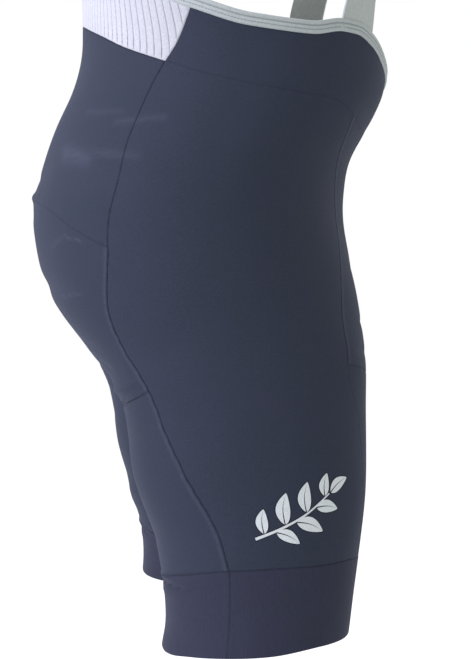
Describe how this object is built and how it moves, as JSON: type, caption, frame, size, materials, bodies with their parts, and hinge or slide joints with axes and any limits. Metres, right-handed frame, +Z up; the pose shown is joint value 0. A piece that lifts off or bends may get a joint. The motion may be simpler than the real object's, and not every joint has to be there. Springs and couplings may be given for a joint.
{
  "type": "cycling bib shorts",
  "caption": "Hollow worn-shape bib shorts: snug navy legs with wide hem bands, a seat and waist, a ribbed white back bib, pale elastic edging and shoulder straps.",
  "frame": {"origin": "midway between the tops of the two shoulder straps, where the wearer's shoulders hold the garment up", "axes": "+Z up, the front of the garment faces -Y, the wearer's right side is at -X"},
  "size_m": [0.3614, 0.2765, 0.8337],
  "materials": {
    "navy_knit": "smooth matt warp knit with a slight sheen",
    "band_knit": "fine rib compression knit, matt",
    "rib_knit": "white rib knit with narrow dark grooves",
    "edge_tape": "folded pale grey elastic edging",
    "strap_elastic": "flat pale grey woven elastic"
  },
  "bodies": {
    "root": {"side_panel_right": "navy_knit", "side_panel_left": "navy_knit", "inner_leg_right": "navy_knit", "inner_leg_left": "navy_knit", "back_panel": "navy_knit", "seat_panel": "navy_knit", "front_panel": "navy_knit", "belly_panel": "navy_knit", "leg_band_right": "band_knit", "leg_band_left": "band_knit", "back_bib": "rib_knit", "side_tape_right": "edge_tape", "side_tape_left": "edge_tape", "front_tape": "edge_tape", "strap_right": "strap_elastic", "strap_left": "strap_elastic"}
  },
  "joints": []
}
